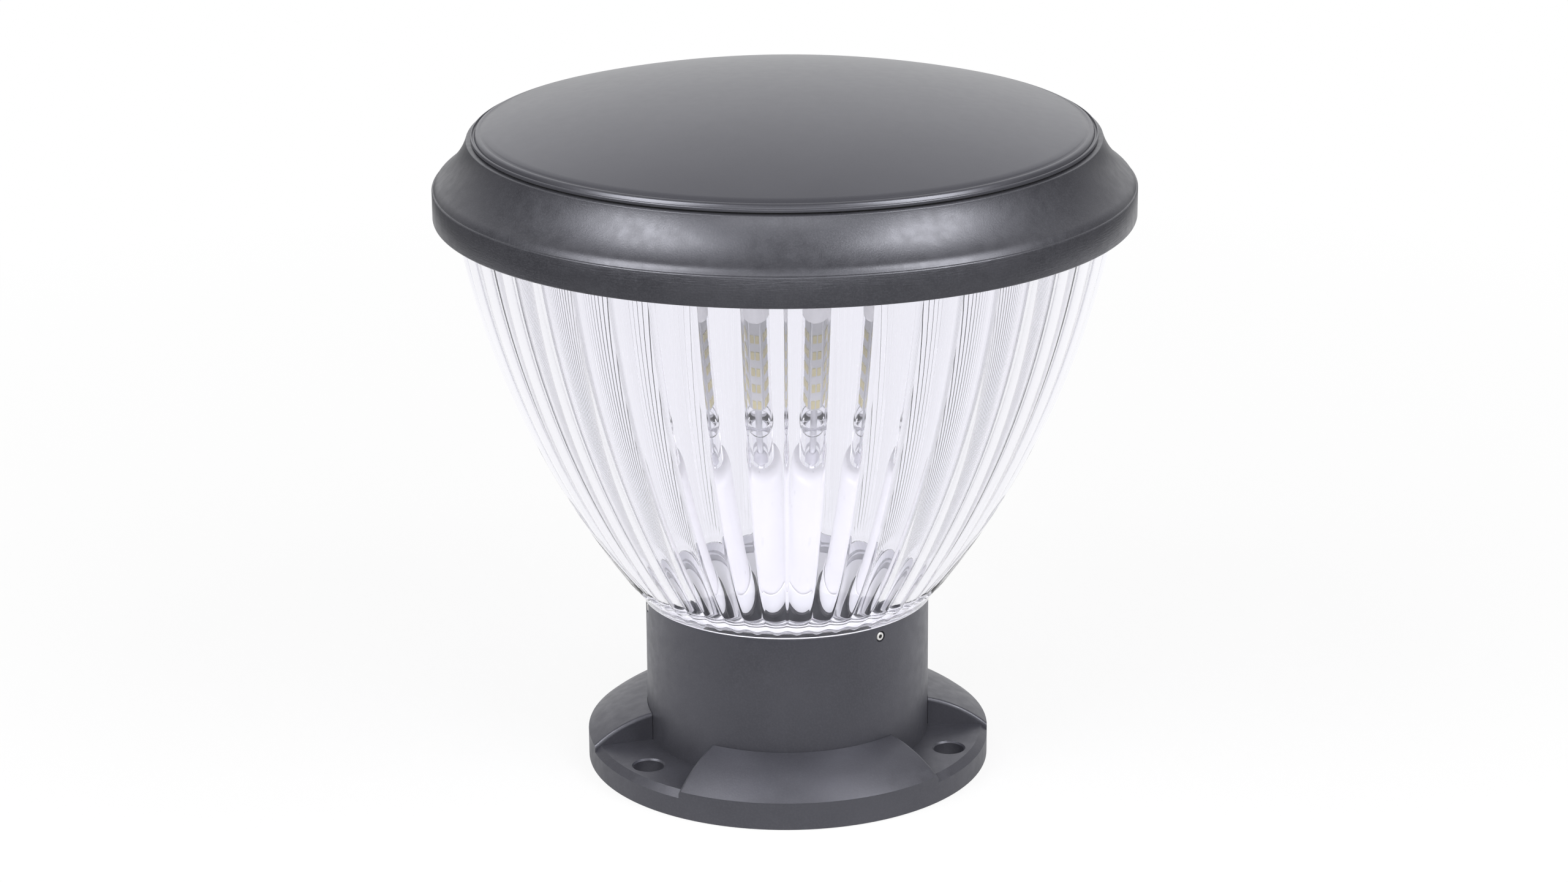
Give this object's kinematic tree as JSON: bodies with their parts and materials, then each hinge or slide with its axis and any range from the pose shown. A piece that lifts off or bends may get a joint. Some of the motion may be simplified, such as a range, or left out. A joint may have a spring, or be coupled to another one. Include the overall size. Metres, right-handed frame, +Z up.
{
  "type": "pillar lantern",
  "caption": "Round pillar lantern for a gate post or garden wall: fluted clear lens under a domed cap, on a short tube with a cast mounting flange, with a screw-in lamp inside.",
  "frame": {"origin": "middle of the flange's underside, where the lantern stands on its post", "axes": "+Z up along the pillar's axis, -Y towards the front seen in the picture, +X to the right in the picture"},
  "size_m": [0.25, 0.25, 0.254],
  "materials": {
    "housing_coat": "anthracite powder coat, fine texture",
    "rim_coat": "anthracite powder coat, fine texture over a turned casting",
    "lid_coat": "anthracite powder coat, satin",
    "lens_clear": "clear moulded acrylic, gloss",
    "lamp_clear": "clear, gloss",
    "lamp_white": "white moulded plastic, satin",
    "reflector_white": "white paint, satin",
    "holder_black": "black moulded thermoset",
    "block_white": "natural polyamide",
    "nickel": "nickel plated, pressed",
    "brass": "plain brass",
    "steel": "stainless, turned",
    "zinc_sheet": "zinc plated sheet",
    "rubber": "black, matt",
    "nylon": "natural nylon",
    "insulator_black": "black, gloss",
    "column_aluminium": "extruded, plain",
    "board_white": "white solder mask",
    "chip_phosphor": "yellow phosphor in a white frame",
    "driver_green": "green solder mask",
    "driver_black": "black sleeve and varnish",
    "lead_brown": "brown insulation",
    "lead_blue": "blue insulation",
    "lead_green": "green insulation with a yellow stripe"
  },
  "bodies": {
    "base": {"base_flange": "housing_coat", "pillar_tube": "housing_coat", "tube_seal": "rubber", "tube_screws": "steel", "neck_gasket": "rubber", "cable_grommet": "rubber", "holder_bridge": "zinc_sheet", "bridge_screws": "steel", "lampholder_body": "holder_black", "lampholder_shell": "nickel", "lampholder_contact": "brass", "holder_screws": "steel", "neck_reflector": "reflector_white", "shade_ring": "holder_black", "terminal_block": "block_white", "terminal_screws": "brass", "block_screws": "steel", "earth_tag": "brass", "earth_screw": "steel", "lead_live": "lead_brown", "lead_neutral": "lead_blue", "lead_earth": "lead_green"},
    "head": {"diffuser": "lens_clear", "lens_gasket": "rubber", "rim_ring": "rim_coat", "dome_lid": "lid_coat", "lid_gasket": "rubber", "lid_screws": "steel", "cap_reflector": "reflector_white", "lens_clips": "zinc_sheet", "clip_screws": "steel"},
    "lamp_foot": {"lamp_contact": "brass"},
    "lamp": {"lamp_insulator": "insulator_black", "lamp_shell": "nickel", "lamp_body": "lamp_white", "lamp_tube": "lamp_clear", "lamp_top": "lamp_white", "column_stem": "column_aluminium", "board_column": "column_aluminium", "light_boards": "board_white", "light_chips": "chip_phosphor", "driver_board": "driver_green", "driver_parts": "driver_black"},
    "grub_pad_1": {"grub_tip_1": "nylon"},
    "grub_1": {"grub_screw_1": "steel"},
    "grub_pad_2": {"grub_tip_2": "nylon"},
    "grub_2": {"grub_screw_2": "steel"},
    "grub_pad_3": {"grub_tip_3": "nylon"},
    "grub_3": {"grub_screw_3": "steel"}
  },
  "joints": [
    {"name": "head_lift", "type": "slide", "parent": "base", "child": "head", "axis": [0, 0, 1], "range_m": [0, 0.16]},
    {"name": "lamp_rise", "type": "slide", "parent": "base", "child": "lamp_foot", "axis": [0, 0, 1], "range_m": [0, 0.026]},
    {"name": "lamp_turn", "type": "hinge", "parent": "lamp_foot", "child": "lamp", "pos_m": [0, 0, 0.0365], "axis": [0, 0, 1], "range_deg": [0, 2575]},
    {"name": "grub_1_out", "type": "slide", "parent": "base", "child": "grub_pad_1", "axis": [0.6428, -0.766, 0], "range_m": [0, 0.0025]},
    {"name": "grub_1_turn", "type": "hinge", "parent": "grub_pad_1", "child": "grub_1", "pos_m": [0.03118, -0.03715, 0.06], "axis": [0.6428, -0.766, 0], "range_deg": [0, 1802]},
    {"name": "grub_2_out", "type": "slide", "parent": "base", "child": "grub_pad_2", "axis": [0.342, 0.9397, 0], "range_m": [0, 0.0025]},
    {"name": "grub_2_turn", "type": "hinge", "parent": "grub_pad_2", "child": "grub_2", "pos_m": [0.01659, 0.04558, 0.06], "axis": [0.342, 0.9397, 0], "range_deg": [0, 1802]},
    {"name": "grub_3_out", "type": "slide", "parent": "base", "child": "grub_pad_3", "axis": [-0.9848, -0.1736, 0], "range_m": [0, 0.0025]},
    {"name": "grub_3_turn", "type": "hinge", "parent": "grub_pad_3", "child": "grub_3", "pos_m": [-0.04776, -0.00842, 0.06], "axis": [-0.9848, -0.1736, 0], "range_deg": [0, 1802]}
  ],
  "couplings": [
    {"joint": "lamp_rise", "follows": "lamp_turn", "m_per_rad": 0.0005775},
    {"joint": "grub_1_turn", "follows": "grub_1_out", "rad_per_m": 12566},
    {"joint": "grub_2_turn", "follows": "grub_2_out", "rad_per_m": 12566},
    {"joint": "grub_3_turn", "follows": "grub_3_out", "rad_per_m": 12566}
  ]
}
